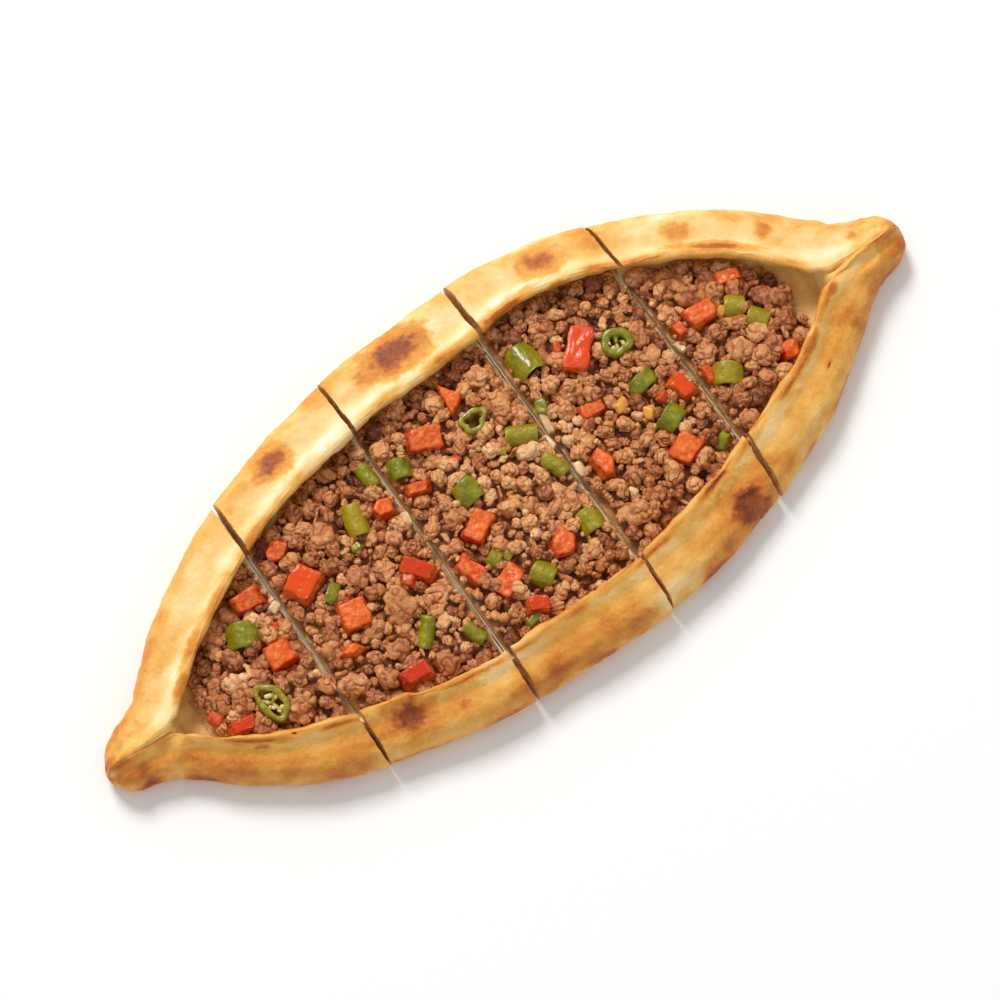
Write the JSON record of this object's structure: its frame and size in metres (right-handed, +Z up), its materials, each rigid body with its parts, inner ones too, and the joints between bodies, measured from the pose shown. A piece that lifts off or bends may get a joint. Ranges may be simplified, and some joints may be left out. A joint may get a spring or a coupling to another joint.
{
  "type": "turkish pide",
  "caption": "Boat-shaped baked flatbread with a folded rim and pinched tips, filled with minced meat, diced tomato and green pepper, cut crosswise into slices that lie together.",
  "frame": {"origin": "bottom centre of the whole pide's bounding box, at the height of the board it lies on", "axes": "+X along the boat from tip to tip, +Y across it, +Z up"},
  "size_m": [0.36, 0.1506, 0.0216],
  "materials": {
    "baked_dough": "matt baked dough, pale gold with browned crests and dark oven spots",
    "minced_meat": "browned minced meat in crumbs and clumps, a little oily",
    "green_pepper": "cooked green pepper, glossy skin",
    "tomato": "cooked tomato, wet red flesh and skin"
  },
  "bodies": {
    "root": {"crust_1": "baked_dough", "crust_2": "baked_dough", "crust_3": "baked_dough", "crust_4": "baked_dough", "crust_5": "baked_dough", "mince_1": "minced_meat", "mince_2": "minced_meat", "mince_3": "minced_meat", "mince_4": "minced_meat", "mince_5": "minced_meat", "pepper_01": "green_pepper", "pepper_02": "green_pepper", "pepper_03": "green_pepper", "pepper_04": "green_pepper", "pepper_05": "green_pepper", "pepper_06": "green_pepper", "pepper_07": "green_pepper", "pepper_08": "green_pepper", "pepper_09": "green_pepper", "pepper_10": "green_pepper", "pepper_11": "green_pepper", "pepper_12": "green_pepper", "pepper_13": "green_pepper", "pepper_14": "green_pepper", "pepper_15": "green_pepper", "pepper_16": "green_pepper", "pepper_17": "green_pepper", "pepper_18": "green_pepper", "pepper_19": "green_pepper", "pepper_20": "green_pepper", "pepper_21": "green_pepper", "tomato_01": "tomato", "tomato_02": "tomato", "tomato_03": "tomato", "tomato_04": "tomato", "tomato_05": "tomato", "tomato_06": "tomato", "tomato_07": "tomato", "tomato_08": "tomato", "tomato_09": "tomato", "tomato_10": "tomato", "tomato_11": "tomato", "tomato_12": "tomato", "tomato_13": "tomato", "tomato_14": "tomato", "tomato_15": "tomato", "tomato_16": "tomato", "tomato_17": "tomato", "tomato_18": "tomato", "tomato_19": "tomato", "tomato_20": "tomato", "tomato_21": "tomato", "tomato_22": "tomato", "tomato_23": "tomato", "tomato_24": "tomato", "tomato_25": "tomato", "tomato_26": "tomato", "tomato_27": "tomato"}
  },
  "joints": []
}
